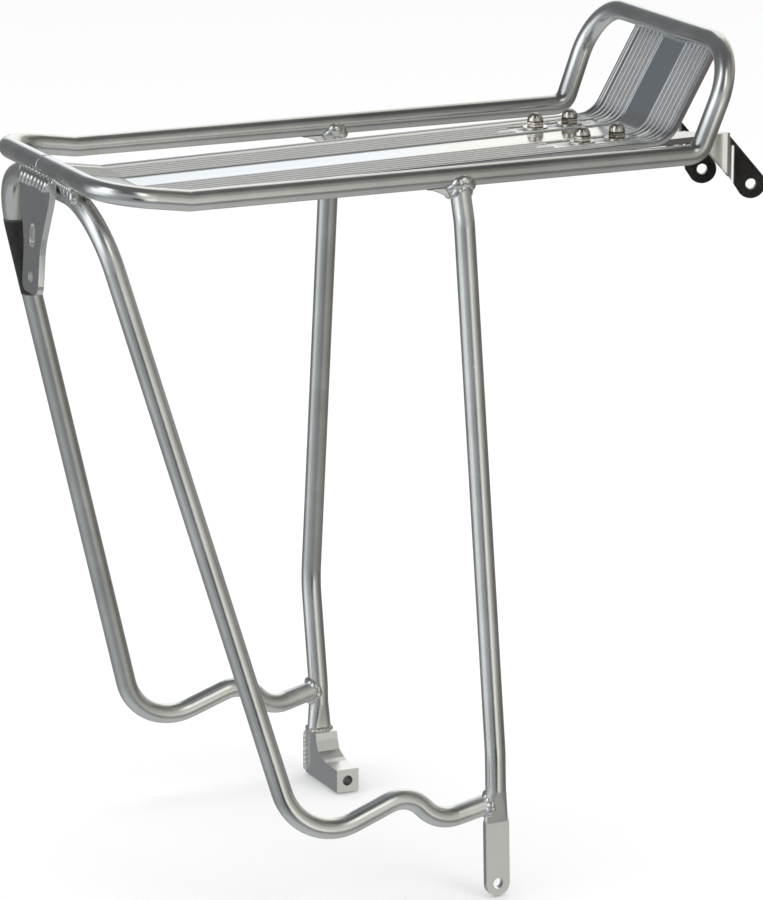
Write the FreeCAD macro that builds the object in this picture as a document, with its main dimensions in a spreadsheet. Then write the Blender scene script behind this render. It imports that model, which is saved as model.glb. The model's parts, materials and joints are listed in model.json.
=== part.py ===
import FreeCAD, Part
import Sketcher
import math
import os

from FreeCAD import Placement, Rotation, Vector

# Rear bicycle rack: a tubular deck loop with a ridged plate, two front legs, a rear leg hoop,
# a dropout block, two front stays with their fasteners, and a tail plate.
# X points forward, Y to the bicycle's left, Z up; millimetres and degrees.
# Parts are laid out from the middle of the rack's width on the dropout axis. At the end all
# move sideways, so that the origin is the mouth of the left dropout bore.

DIMS = {
    # tubes
    "tube_dia": 10.0, "tube_wall": 1.5,
    # deck loop: rails, raised tail and upturned front hoop
    "deck_z": 341.5, "rail_y": 71.5, "tail_kink_x": -144.0, "tail_kink_rad": 9.0,
    "tail_x": -185.0, "tail_rise": 6.0, "tail_corner_rad": 23.0,
    "hoop_foot_x": 121.1, "hoop_foot_rad": 8.5,
    "hoop_top_x": 140.8, "hoop_top_z": 392.1, "hoop_top_y": 74.0, "hoop_top_rad": 27.0,
    # rear leg hoop: outward splay per unit of drop, cross piece, heel wave and end
    "splay": 0.08, "leg_top_y": 76.0, "rear_cross_x": -182.5, "rear_cross_z": 337.8,
    "rear_right_y": 50.0, "rear_right_rad": 37.0, "rear_left_y": 72.5, "rear_left_rad": 40.0,
    "bend_x": -102.4, "bend_z": 29.9, "bend_rad": 27.0,
    "hump_x": -45.6, "hump_z": 50.6, "hump_rad": 16.0,
    "dip_x": -30.2, "dip_z": 34.2, "dip_rad": 18.0, "wave_end_z": 40.2,
    "right_end_out": 0.2, "left_end_out": 0.1, "cope_gap": 0.03,
    # front legs: forward lean, knee under the rail, saddle on the rail
    "leg_lean": 1.16, "front_top_x": -7.0, "knee_out": 5.6, "knee_drop": 21.0,
    "knee_rad": 22.0, "leg_top_in": 0.3, "leg_top_drop": 1.0, "saddle_gap": 0.16,
    "crimp_top_half": 0.15,
    # right front leg and its flattened eyelet tab
    "right_low_y": 103.3, "right_bend_z": 66.0, "leg_bend_rad": 60.0, "crimp_z": 47.0,
    "flat_top_z": 31.0, "tab_width": 12.4, "tab_thick": 3.2, "eyelet_dia": 5.3,
    # left front leg and its crimped foot
    "left_low_y": 104.2, "left_bend_z": 42.0, "left_bend_rad": 40.0,
    "left_kink_y": 110.9, "left_kink_z": 96.0, "left_crimp_z": 32.0,
    "left_foot_rise": 0.3, "left_foot_width": 12.6, "left_foot_thick": 7.6,
    # left dropout block
    "block_in_y": 69.5, "block_out_y": 109.0, "block_depth": 12.0, "block_half": 6.0,
    "block_top_z": 18.2, "block_neck_y": 96.0, "block_cove_y": 87.0, "block_cove_z": 14.5,
    "block_bore": 5.3, "block_bore_mid": 90.0, "block_edge": 0.8,
    # deck plate: section, then the bends of its run
    "plate_half": 41.0, "plate_base": 1.5, "plate_lip": 1.3, "plate_lip_w": 6.0,
    "ridge_h": 0.8, "ridge_w": 1.1, "ridge_first": 12.9, "ridge_pitch": 4.1,
    "plate_rear_x": -178.0, "plate_rear_z": 341.9,
    "plate_kink_x": -143.5, "plate_kink_z": 336.8, "plate_kink_rad": 6.0,
    "plate_foot_x": 121.4, "plate_foot_z": 341.9, "plate_foot_rad": 14.0,
    "plate_top_x": 147.3, "plate_top_z": 387.1,
    # fitting frame on the plate, and the slots and bolts of the stays in it
    "fit_x": 90.0, "fit_z": 341.31, "fit_tilt": 1.093,
    "stay_y": 21.5, "stay_slot_w": 5.4, "stay_slot_rear": -17.0, "stay_slot_front": 18.0,
    "flat_margin_x": 6.3, "flat_margin_y": 6.6, "flat_cut_h": 2.0,
    "bolt_rear": -7.5, "bolt_front": 11.5, "right_shift": 1.5, "left_shift": -2.5,
    # front stays and their lugs
    "stay_width": 14.5, "stay_thick": 3.0, "stay_gap": 0.03, "stay_tail": -19.0,
    "stay_nose": 53.0, "stay_diag": 70.2, "lug_root": 51.0, "lug_slope": 49.3,
    "lug_bend": 70.2, "lug_yaw": 19.7, "lug_reach": 10.4, "lug_drop": 25.0,
    "lug_extra_drop": 1.0, "lug_overlap": 1.2, "lug_hole": 5.3,
    # fasteners
    "bolt_dia": 4.9, "bolt_hole": 5.2, "head_dia": 9.0, "head_h": 2.6, "bolt_top": 6.2,
    "washer_dia": 12.4, "washer_h": 1.0, "nut_flats": 8.0, "nut_base": 3.0,
    "nut_dome": 3.7, "nut_bore": 5.0, "nut_gap": 0.01, "dome_inset": 0.03,
    "dome_sink": 0.2, "dome_step": 0.3, "thread_extra": 0.4,
    # tail plate
    "tail_half": 19.7, "tail_mid_half": 14.2, "tail_low_half": 10.3, "tail_thick": 3.0,
    "tail_tilt": 3.7, "tail_face": 4.02, "tail_top_z": -3.05, "tail_sh_z": -9.5,
    "tail_mid_z": -26.0, "tail_neck_z": -40.0, "tail_low_z": -59.8, "tail_corner": 5.0,
    "tail_slot_w": 6.4, "tail_slot_lo": -38.3, "tail_slot_hi": -26.4,
    "tail_hole_z": -52.0, "tail_hole_d": 5.6,
    # gussets under the rails
    "gusset_len": 11.0, "gusset_h": 5.5, "gusset_t": 3.0,
    "gusset_rail_gap": 0.03, "gusset_leg_gap": 0.35,
    # film sleeve on the left rear leg
    "band_top": 308.0, "band_low": 269.0, "band_t": 0.25, "band_gap": 0.01,
}
RIGHT, LEFT = -1, 1

doc = FreeCAD.newDocument("rear_rack")
sheet = doc.addObject("Spreadsheet::Sheet", "Dims")
for row, (alias, number) in enumerate(DIMS.items(), 1):
    sheet.set("A%d" % row, alias)
    sheet.set("B%d" % row, repr(number))
    sheet.setAlias("B%d" % row, alias)
doc.recompute()


# ---------------------------------------------------------------- sheet-driven sizes
class Dim:
    """A number together with the sheet expression that gives it."""

    def __init__(self, value, text=None):
        self.value = float(value)
        self.text = text or repr(self.value)

    def __add__(self, other):
        other = as_dim(other)
        return Dim(self.value + other.value, "(%s + %s)" % (self.text, other.text))

    def __sub__(self, other):
        other = as_dim(other)
        return Dim(self.value - other.value, "(%s - %s)" % (self.text, other.text))

    def __mul__(self, other):
        other = as_dim(other)
        return Dim(self.value * other.value, "(%s * %s)" % (self.text, other.text))

    __rmul__ = __mul__

    def __truediv__(self, other):
        other = as_dim(other)
        return Dim(self.value / other.value, "(%s / %s)" % (self.text, other.text))

    def __neg__(self):
        return Dim(-self.value, "(0 - %s)" % self.text)


def as_dim(size):
    return size if isinstance(size, Dim) else Dim(size)


def dim(name):
    return Dim(DIMS[name], "Dims." + name)


# ---------------------------------------------------------------- sketch helpers
def new_body(label):
    return doc.addObject("PartDesign::Body", label)


def sketch(body, plane, name, lift=None, offset=None):
    """Sketch on an origin plane, lifted along its normal or set off by a placement."""
    profile = doc.addObject("Sketcher::SketchObject", "%s_%s" % (body.Label, name))
    body.addObject(profile)
    origin = next(item for item in body.Origin.OriginFeatures if item.Role == plane)
    profile.AttachmentSupport = [(origin, "")]
    profile.MapMode = "FlatFace"
    if lift is not None:
        profile.AttachmentOffset = Placement(Vector(0, 0, lift.value), Rotation())
        profile.setExpression("AttachmentOffset.Base.z", lift.text)
    elif offset is not None:
        profile.AttachmentOffset = offset
    return profile


def drive(profile, size, kind, *where):
    """Add a dimensional constraint bound to the sheet."""
    size = as_dim(size)
    index = profile.addConstraint(Sketcher.Constraint(kind, *where, size.value))
    profile.setExpression("Constraints[%d]" % index, size.text)


def pin(profile, geo, point, x, y):
    """Hold one point of the sketch at sheet-driven coordinates."""
    drive(profile, x, "DistanceX", -1, 1, geo, point)
    drive(profile, y, "DistanceY", -1, 1, geo, point)


def join(profile, kind, *where):
    profile.addConstraint(Sketcher.Constraint(kind, *where))


def polygon(profile, points):
    """Closed polygon with every corner driven from the sheet."""
    corners = [Vector(as_dim(x).value, as_dim(y).value, 0) for x, y in points]
    lines = [profile.addGeometry(Part.LineSegment(start, end), False)
             for start, end in zip(corners, corners[1:] + corners[:1])]
    for line, following in zip(lines, lines[1:] + lines[:1]):
        join(profile, "Coincident", line, 2, following, 1)
    for line, (x, y) in zip(lines, points):
        pin(profile, line, 1, x, y)


def mirrored(points):
    """Outline of a right half followed by its mirror image in the sketch's Y axis."""
    return points + [(-x, y) for x, y in reversed(points)]


def circle(profile, x, y, radius):
    centre = Vector(as_dim(x).value, as_dim(y).value, 0)
    geo = profile.addGeometry(Part.Circle(centre, Vector(0, 0, 1), radius.value), False)
    pin(profile, geo, 3, x, y)
    drive(profile, radius, "Radius", geo)


def oblong(profile, x0, y0, x1, y1, radius):
    """Round-ended outline about two centres, parallel to an axis."""
    first = Vector(as_dim(x0).value, as_dim(y0).value, 0)
    last = Vector(as_dim(x1).value, as_dim(y1).value, 0)
    along = (last - first).normalize()
    across = Vector(-along.y, along.x, 0) * radius.value
    angle = math.atan2(along.y, along.x)

    def end_arc(centre, start):
        full = Part.Circle(centre, Vector(0, 0, 1), radius.value)
        return profile.addGeometry(Part.ArcOfCircle(full, start, start + math.pi), False)

    side1 = profile.addGeometry(Part.LineSegment(first + across, last + across), False)
    side2 = profile.addGeometry(Part.LineSegment(last - across, first - across), False)
    arc1 = end_arc(last, angle - math.pi / 2)
    arc2 = end_arc(first, angle + math.pi / 2)
    join(profile, "Tangent", side1, 2, arc1, 2)
    join(profile, "Tangent", arc1, 1, side2, 1)
    join(profile, "Tangent", side2, 2, arc2, 2)
    join(profile, "Tangent", arc2, 1, side1, 1)
    pin(profile, arc1, 3, x1, y1)
    pin(profile, arc2, 3, x0, y0)
    drive(profile, radius, "Radius", arc1)


def bend(before, corner, after, radius):
    """Centre, start and end of the arc that rounds a corner."""
    back = (before - corner).normalize()
    ahead = (after - corner).normalize()
    half_angle = math.acos(max(-1, min(1, back.dot(ahead)))) / 2
    setback = radius / math.tan(half_angle)
    centre = corner + (back + ahead).normalize() * (radius / math.sin(half_angle))
    return centre, corner + back * setback, corner + ahead * setback


def minor_arc(centre, start, end):
    """Counter-clockwise arc joining two points the short way round."""
    angle0 = math.atan2(start.y - centre.y, start.x - centre.x)
    angle1 = math.atan2(end.y - centre.y, end.x - centre.x)
    if (angle1 - angle0) % (2 * math.pi) > math.pi:
        angle0, angle1 = angle1, angle0
    full = Part.Circle(centre, Vector(0, 0, 1), (start - centre).Length)
    return Part.ArcOfCircle(full, angle0, angle0 + (angle1 - angle0) % (2 * math.pi))


def spine(profile, stations):
    """Open run of lines and tangent arcs; a station is (x, y, bend radius or None at an end)."""
    corners = [Vector(as_dim(x).value, as_dim(y).value, 0) for x, y, _ in stations]
    inner = stations[1:-1]
    bends = [bend(*corners[i:i + 3], station[2].value) for i, station in enumerate(inner)]
    starts = [corners[0]] + [end for _, _, end in bends]
    ends = [start for _, start, _ in bends] + [corners[-1]]
    lines = [profile.addGeometry(Part.LineSegment(start, end), False)
             for start, end in zip(starts, ends)]
    arcs = [profile.addGeometry(minor_arc(*item), False) for item in bends]
    pin(profile, lines[0], 1, *stations[0][:2])
    pin(profile, lines[-1], 2, *stations[-1][:2])
    for i, (arc, (x, y, radius)) in enumerate(zip(arcs, inner)):
        forward = (profile.Geometry[arc].StartPoint - ends[i]).Length < 1e-6
        near, far = (1, 2) if forward else (2, 1)
        join(profile, "Tangent", lines[i], 2, arc, near)
        join(profile, "Tangent", arc, far, lines[i + 1], 1)
        drive(profile, radius, "Radius", arc)
        corner = profile.addGeometry(Part.Point(corners[i + 1]), True)
        pin(profile, corner, 1, x, y)
        join(profile, "PointOnObject", corner, 1, lines[i])
        join(profile, "PointOnObject", corner, 1, lines[i + 1])


# ---------------------------------------------------------------- feature helpers
def add_feature(body, kind, name, symmetric=False, **settings):
    """Add a PartDesign feature as the tip; settings given as Dim are bound to the sheet."""
    doc.recompute()  # solves the sketches the feature uses
    feature = doc.addObject("PartDesign::" + kind, name)
    body.addObject(feature)
    for key, setting in settings.items():
        if isinstance(setting, Dim):
            setattr(feature, key, setting.value)
            feature.setExpression(key, setting.text)
        else:
            setattr(feature, key, setting)
    if symmetric:
        # FreeCAD builds without SideType have the Midplane switch
        if hasattr(feature, "SideType"):
            feature.SideType = "Symmetric"
        else:
            feature.Midplane = True
    body.Tip = feature
    doc.recompute()
    return feature


def pad(body, profile, length, symmetric=True, reverse=False):
    return add_feature(body, "Pad", profile.Name + "_pad", symmetric,
                       Profile=profile, Length=as_dim(length), Reversed=reverse)


def cut(body, profile, length, symmetric=True, reverse=False):
    before = body.Shape.Volume
    feature = add_feature(body, "Pocket", profile.Name + "_cut", symmetric,
                          Profile=profile, Length=as_dim(length), Reversed=reverse)
    if body.Shape.Volume >= before - 1e-6:
        raise RuntimeError("pocket removed nothing: " + profile.Name)
    return feature


def revolve(body, profile, name):
    """Full turn about the sketch's vertical axis."""
    add_feature(body, "Revolution", name,
                Profile=profile, ReferenceAxis=(profile, ["V_Axis"]), Angle=360.0)


# ---------------------------------------------------------------- bent tubes in space
TUBE = dim("tube_dia") / 2
BORE = TUBE - dim("tube_wall")


def bent_wire(stations):
    """Lines and tangent arcs; a station is (x, y, z, bend radius)."""
    corners = [Vector(*station[:3]) for station in stations]
    edges = []
    start = corners[0]
    for i in range(1, len(corners) - 1):
        radius = stations[i][3]
        centre, arc_start, arc_end = bend(*corners[i - 1:i + 2], radius)
        middle = centre + (corners[i] - centre).normalize() * radius
        edges.append(Part.LineSegment(start, arc_start).toShape())
        edges.append(Part.Arc(arc_start, middle, arc_end).toShape())
        start = arc_end
    edges.append(Part.LineSegment(start, corners[-1]).toShape())
    return Part.Wire(edges)


def sweep(wire, radius):
    first = wire.OrderedEdges[0]
    start = first.valueAt(first.FirstParameter)
    direction = first.tangentAt(first.FirstParameter)
    section = Part.Wire([Part.Circle(start, direction, radius).toShape()])
    return wire.makePipeShell([section], True, False)


def tube(wire):
    return sweep(wire, TUBE.value).cut(sweep(wire, BORE.value))


def joined_tube(right, left):
    return tube(right).fuse(tube(left)).removeSplitter()


def solid_feature(label, solid):
    feature = doc.addObject("Part::Feature", label)
    feature.Shape = solid
    return feature


# ---------------------------------------------------------------- deck loop
def deck_half(side):
    """One side of the loop, from mid tail to mid hoop."""
    deck_z = DIMS["deck_z"]
    tail_x, tail_z = DIMS["tail_x"], deck_z + DIMS["tail_rise"]
    rail_y = side * DIMS["rail_y"]
    top_x, top_z = DIMS["hoop_top_x"], DIMS["hoop_top_z"]
    return bent_wire([
        (tail_x, 0, tail_z, 0),
        (tail_x, rail_y, tail_z, DIMS["tail_corner_rad"]),
        (DIMS["tail_kink_x"], rail_y, deck_z, DIMS["tail_kink_rad"]),
        (DIMS["hoop_foot_x"], rail_y, deck_z, DIMS["hoop_foot_rad"]),
        (top_x, side * DIMS["hoop_top_y"], top_z, DIMS["hoop_top_rad"]),
        (top_x, 0, top_z, 0)])


deck_loop = solid_feature(
    "deck_loop", joined_tube(deck_half(RIGHT), deck_half(LEFT)).Solids[0])

# ---------------------------------------------------------------- front legs
# Built upright, then leaned forward about the dropout axis.
LEAN = Placement(Vector(0, 0, 0), Rotation(Vector(0, 1, 0), -DIMS["leg_lean"]))
RAIL_ALONG_LEG = Dim(DIMS["deck_z"] / math.cos(math.radians(DIMS["leg_lean"])),
                     "(Dims.deck_z / cos(Dims.leg_lean * 1 deg))")


def eyelet_tab(leg, foot_y, top_z, width, thick):
    """Round-ended flat tab about the dropout axis, with its hole."""
    outline = sketch(leg, "XZ_Plane", "tab", lift=-foot_y)
    oblong(outline, 0, 0, 0, top_z, width / 2)
    pad(leg, outline, thick)
    hole = sketch(leg, "XZ_Plane", "eyelet", lift=-foot_y)
    circle(hole, 0, 0, dim("eyelet_dia") / 2)
    cut(leg, hole, thick * 3)


def front_leg(label, side, low_y, bends, crimp_z, flat_z, flat_w, flat_t, tabbed):
    """Tube from crimp to rail; bends are (distance outward, height, radius)."""
    leg = new_body(label)
    foot_y = side * low_y
    run = [(low_y, crimp_z, None)] + bends + [
        (dim("rail_y") + dim("knee_out"), dim("deck_z") - dim("knee_drop"), dim("knee_rad")),
        (dim("rail_y") - dim("leg_top_in"), dim("deck_z") - dim("leg_top_drop"), None)]
    path = sketch(leg, "YZ_Plane", "spine")
    spine(path, [(side * out, height, radius) for out, height, radius in run])

    skin = sketch(leg, "XY_Plane", "tube", lift=crimp_z)
    circle(skin, 0, foot_y, TUBE)
    add_feature(leg, "AdditivePipe", label + "_pipe", Profile=skin, Spine=(path, []))
    bore = sketch(leg, "XY_Plane", "bore", lift=crimp_z)
    circle(bore, 0, foot_y, BORE)
    before = leg.Shape.Volume
    add_feature(leg, "SubtractivePipe", label + "_inside", Profile=bore, Spine=(path, []))
    if leg.Shape.Volume >= before:
        raise RuntimeError("bore of " + label)

    # crimp: the round tube pressed to a flat end
    flat = sketch(leg, "XY_Plane", "flat", lift=flat_z)
    flat_half = (flat_w - flat_t) / 2
    oblong(flat, -flat_half, foot_y, flat_half, foot_y, flat_t / 2)
    top = sketch(leg, "XY_Plane", "round", lift=crimp_z)
    top_half = dim("crimp_top_half")
    oblong(top, -top_half, foot_y, top_half, foot_y, TUBE - top_half / 2)
    add_feature(leg, "AdditiveLoft", label + "_crimp",
                Profile=top, Sections=[flat], Ruled=False)
    if tabbed:
        eyelet_tab(leg, foot_y, flat_z - 1, flat_w, flat_t)

    # saddle cut that seats the top of the leg on the rail
    saddle = sketch(leg, "YZ_Plane", "saddle")
    circle(saddle, side * dim("rail_y"), RAIL_ALONG_LEG, TUBE + dim("saddle_gap"))
    cut(leg, saddle, length=60.0)
    leg.Placement = LEAN
    return leg


right_front_leg = front_leg(
    "right_front_leg", RIGHT, dim("right_low_y"),
    [(dim("right_low_y"), dim("right_bend_z"), dim("leg_bend_rad"))],
    crimp_z=dim("crimp_z"), flat_z=dim("flat_top_z"),
    flat_w=dim("tab_width"), flat_t=dim("tab_thick"), tabbed=True)
left_front_leg = front_leg(
    "left_front_leg", LEFT, dim("left_low_y"),
    [(dim("left_low_y"), dim("left_bend_z"), dim("left_bend_rad")),
     (dim("left_kink_y"), dim("left_kink_z"), dim("leg_bend_rad"))],
    crimp_z=dim("left_crimp_z"), flat_z=dim("block_top_z") + dim("left_foot_rise"),
    flat_w=dim("left_foot_width"), flat_t=dim("left_foot_thick"), tabbed=False)
doc.recompute()


# ---------------------------------------------------------------- left dropout block
def dropout_block():
    """L profile across the rack, extruded along it, bored on the dropout axis."""
    block = new_body("left_dropout_block")
    outer, inner, half = dim("block_out_y"), dim("block_in_y"), dim("block_half")
    neck, cove, top = dim("block_neck_y"), dim("block_cove_y"), dim("block_top_z")
    profile = sketch(block, "YZ_Plane", "profile")
    polygon(profile, [
        (outer, -half), (outer, top), (neck, top), (neck - 0.8, dim("block_cove_z")),
        (neck - 3.2, half + 3.4), (cove, half + 0.9), (cove - 3, half),
        (inner, half), (inner, -half)])
    pad(block, profile, dim("block_depth"))
    bore = sketch(block, "XZ_Plane", "bore", lift=-dim("block_bore_mid"))
    circle(bore, 0, 0, dim("block_bore") / 2)
    bored = cut(block, bore, length=80.0)

    # chamfer the long edges of the outer face
    edges = []
    for number, edge in enumerate(bored.Shape.Edges, 1):
        box = edge.BoundBox
        along_x = box.XLength > 11 and box.YLength < 0.01 and box.ZLength < 0.01
        if along_x and abs(box.YMin - outer.value) < 0.01:
            edges.append("Edge%d" % number)
    add_feature(block, "Chamfer", "block_chamfer",
                Base=(bored, edges), Size=dim("block_edge"))
    return block


block = dropout_block()


# ---------------------------------------------------------------- rear leg hoop and its band
def splayed_y(z):
    """Distance of a rear leg from the middle at a height."""
    return DIMS["leg_top_y"] + DIMS["splay"] * (DIMS["deck_z"] - z)


def rear_half(side):
    """From mid cross piece down one leg, through the heel wave, to the front leg."""
    cross_x, cross_z, end_z = DIMS["rear_cross_x"], DIMS["rear_cross_z"], DIMS["wave_end_z"]
    if side == RIGHT:
        corner_y, corner_rad = DIMS["rear_right_y"], DIMS["rear_right_rad"]
        end_y = splayed_y(end_z) + DIMS["right_end_out"]
    else:
        corner_y, corner_rad = DIMS["rear_left_y"], DIMS["rear_left_rad"]
        end_y = DIMS["left_low_y"] + DIMS["left_end_out"]
    wave = []
    for name in ("bend", "hump", "dip"):
        z = DIMS[name + "_z"]
        wave.append((DIMS[name + "_x"], side * splayed_y(z), z, DIMS[name + "_rad"]))
    end_x = -math.tan(math.radians(DIMS["leg_lean"])) * end_z
    return bent_wire([(cross_x, 0, cross_z, 0), (cross_x, side * corner_y, cross_z, corner_rad)]
                     + wave + [(end_x, side * end_y, end_z, 0)])


def rear_hoop(right, left):
    hoop = joined_tube(right, left)
    for leg, foot_y in ((right_front_leg, -DIMS["right_low_y"]),
                        (left_front_leg, DIMS["left_low_y"])):
        # a filled cylinder first, so that the cope leaves no lip inside the leg's bore
        filled = Part.makeCylinder(TUBE.value + DIMS["cope_gap"], 60,
                                   Vector(0, foot_y, 20), Vector(0, 0, 1))
        filled.Placement = LEAN.multiply(filled.Placement)
        hoop = hoop.cut(filled).cut(leg.Shape.copy())
    return solid_feature("rear_leg_hoop", max(hoop.Solids, key=lambda solid: solid.Volume))


def leg_band(wire):
    """Thin sleeve of film round the left rear leg."""
    sleeve = sweep(wire, TUBE.value + DIMS["band_t"]).cut(
        sweep(wire, TUBE.value + DIMS["band_gap"]))
    low = DIMS["band_low"]
    # box round the left rear leg between the band's two heights
    window = Part.makeBox(140, 90, DIMS["band_top"] - low, Vector(-230, 50, low))
    pieces = sleeve.common(window).Solids
    return solid_feature("left_leg_band", max(pieces, key=lambda solid: solid.Volume))


left_rear_wire = rear_half(LEFT)
rear_leg_hoop = rear_hoop(rear_half(RIGHT), left_rear_wire)
band = leg_band(left_rear_wire)

# ---------------------------------------------------------------- deck plate
# Fitting frame: on the plate's upper face where the stays are bolted, tilted with the plate.
FIT = Placement(Vector(DIMS["fit_x"], 0, DIMS["fit_z"]),
                Rotation(Vector(0, 1, 0), -DIMS["fit_tilt"]))
RIDGES_PER_SIDE = 6
# Rolled edge: inset from the edge as a share of lip width, height as a share of lip height.
LIP = [(1.0, 0.0), (0.66, 0.2), (0.44, 0.6), (0.3, 0.9), (0.2, 1.0), (0.1, 0.9)]


def plate_section():
    """Left half of the ridged top and edge, mirrored."""
    half, base, lip = dim("plate_half"), dim("plate_base"), dim("plate_lip")
    width, height = dim("ridge_w"), dim("ridge_h")
    points = []
    for i in range(RIDGES_PER_SIDE):
        middle = dim("ridge_first") + dim("ridge_pitch") * i
        points += [(middle - width / 2, 0), (middle - width / 4, height),
                   (middle + width / 4, height), (middle + width / 2, 0)]
    points += [(half - dim("plate_lip_w") * inset, lip * rise) for inset, rise in LIP]
    points += [(half - 0.15, lip * 0.55), (half, 0.1), (half, -base + 0.5), (half - 0.5, -base)]
    return mirrored(points)


def deck_plate():
    """Ridged section run along the deck and bent up behind the hoop."""
    plate = new_body("deck_plate")
    path = sketch(plate, "XZ_Plane", "spine")
    spine(path, [
        (dim("plate_rear_x"), dim("plate_rear_z"), None),
        (dim("plate_kink_x"), dim("plate_kink_z"), dim("plate_kink_rad")),
        (dim("plate_foot_x"), dim("plate_foot_z"), dim("plate_foot_rad")),
        (dim("plate_top_x"), dim("plate_top_z"), None)])
    # the section stands square to the first run of the spine
    first_slope = math.degrees(math.atan2(DIMS["plate_kink_z"] - DIMS["plate_rear_z"],
                                          DIMS["plate_kink_x"] - DIMS["plate_rear_x"]))
    section = sketch(plate, "YZ_Plane", "section", offset=Placement(
        Vector(0, DIMS["plate_rear_z"], DIMS["plate_rear_x"]),
        Rotation(Vector(1, 0, 0), -first_slope)))
    polygon(section, plate_section())
    add_feature(plate, "AdditivePipe", "plate_run", Profile=section, Spine=(path, []))

    rear, front = dim("stay_slot_rear"), dim("stay_slot_front")
    for side, name in ((RIGHT, "right_slot"), (LEFT, "left_slot")):
        slot = sketch(plate, "XY_Plane", name, lift=dim("plate_foot_z"))
        y = side * dim("stay_y")
        oblong(slot, dim("fit_x") + rear, y, dim("fit_x") + front, y, dim("stay_slot_w") / 2)
        cut(plate, slot, length=12.0)
    # flats milled through the ridges where the washers bear
    x0, x1 = rear - dim("flat_margin_x"), front + dim("flat_margin_x")
    for side, name in ((RIGHT, "right_pad"), (LEFT, "left_pad")):
        flat = sketch(plate, "XY_Plane", name, offset=FIT)
        y0 = side * dim("stay_y") - dim("flat_margin_y")
        y1 = side * dim("stay_y") + dim("flat_margin_y")
        polygon(flat, [(x0, y0), (x1, y0), (x1, y1), (x0, y1)])
        cut(plate, flat, dim("flat_cut_h"), symmetric=False, reverse=True)
    return plate


plate = deck_plate()


def on_plate(x, y, z=0):
    """Placement at a point of the fitting frame."""
    return FIT.multiply(Placement(Vector(x, y, z), Rotation()))


# ---------------------------------------------------------------- front stays
PLATE_UNDERSIDE = -(dim("plate_base") + dim("stay_gap"))


def lug_tab(body, web_drop):
    """End of the strip beyond the upright bend line: round-ended, with an eye."""
    offset = Placement(Vector(DIMS["lug_bend"], 0, DIMS["stay_width"] / 2),
                       Rotation(Vector(0, 1, 0), -DIMS["lug_yaw"]))
    slope = math.radians(DIMS["lug_slope"])
    overlap = DIMS["lug_overlap"]  # the tab starts this far behind the bend line
    radius, eye_x = dim("stay_width") / 2, dim("lug_reach")
    eye_z = PLATE_UNDERSIDE - dim("lug_drop") - dim("lug_extra_drop")
    low_z = PLATE_UNDERSIDE - web_drop + overlap * math.tan(slope)
    across = Vector(math.sin(slope), math.cos(slope), 0)
    centre = Vector(eye_x.value, eye_z.value, 0)
    top_start = Vector(-overlap, PLATE_UNDERSIDE.value, 0)
    low_start = Vector(-overlap, low_z.value, 0)
    top_end, low_end = centre + across * radius.value, centre - across * radius.value
    arc_end = math.atan2(across.y, across.x)
    rounding = Part.ArcOfCircle(Part.Circle(centre, Vector(0, 0, 1), radius.value),
                                arc_end - math.pi, arc_end)

    tab = sketch(body, "XZ_Plane", "tab", offset=offset)
    upper, arc, lower, back = [tab.addGeometry(shape, False) for shape in (
        Part.LineSegment(top_start, top_end), rounding,
        Part.LineSegment(low_end, low_start), Part.LineSegment(low_start, top_start))]
    join(tab, "Coincident", lower, 2, back, 1)
    join(tab, "Coincident", back, 2, upper, 1)
    pin(tab, upper, 1, -overlap, PLATE_UNDERSIDE)
    pin(tab, lower, 2, -overlap, low_z)
    join(tab, "Coincident", upper, 2, arc, 2)
    join(tab, "Coincident", arc, 1, lower, 1)
    pin(tab, arc, 3, eye_x, eye_z)
    drive(tab, radius, "Radius", arc)
    pad(body, tab, dim("stay_thick"), symmetric=False, reverse=True)
    eye = sketch(body, "XZ_Plane", "eye", offset=offset)
    circle(eye, eye_x, eye_z, dim("lug_hole") / 2)
    cut(body, eye, length=14.0)


def stay(label, y, shift):
    """Flange bolted under the plate, with a lug on its right-hand edge."""
    body = new_body(label)
    half, thick = dim("stay_width") / 2, dim("stay_thick")
    tail, nose, diag = dim("stay_tail"), dim("stay_nose"), dim("stay_diag")
    flange = sketch(body, "XY_Plane", "flange", lift=PLATE_UNDERSIDE - thick)
    polygon(flange, [
        (tail + 3, -half), (diag, -half), (diag, -half + thick), (nose + 3, half - 4),
        (nose + 1.4, half - 1.6), (nose - 2, half), (tail + 3, half),
        (tail, half - 3), (tail, -half + 3)])
    pad(body, flange, thick, symmetric=False)
    holes = sketch(body, "XY_Plane", "bolt_holes", lift=PLATE_UNDERSIDE)
    for name in ("bolt_rear", "bolt_front"):
        circle(holes, dim(name), 0, dim("bolt_hole") / 2)
    cut(body, holes, length=12.0)

    # web: hangs from the edge, slanting forward
    web_drop = Dim(
        (DIMS["lug_bend"] - DIMS["lug_root"]) * math.tan(math.radians(DIMS["lug_slope"])),
        "((Dims.lug_bend - Dims.lug_root) * tan(Dims.lug_slope * 1 deg))")
    web = sketch(body, "XZ_Plane", "web", lift=half)
    polygon(web, [(dim("lug_root"), PLATE_UNDERSIDE), (dim("lug_bend"), PLATE_UNDERSIDE),
                  (dim("lug_bend"), PLATE_UNDERSIDE - web_drop)])
    pad(body, web, thick, symmetric=False, reverse=True)
    lug_tab(body, web_drop)
    body.Placement = on_plate(shift, y)
    return body


right_stay = stay("right_stay", -DIMS["stay_y"], DIMS["right_shift"])
left_stay = stay("left_stay", DIMS["stay_y"], DIMS["left_shift"])


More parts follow.
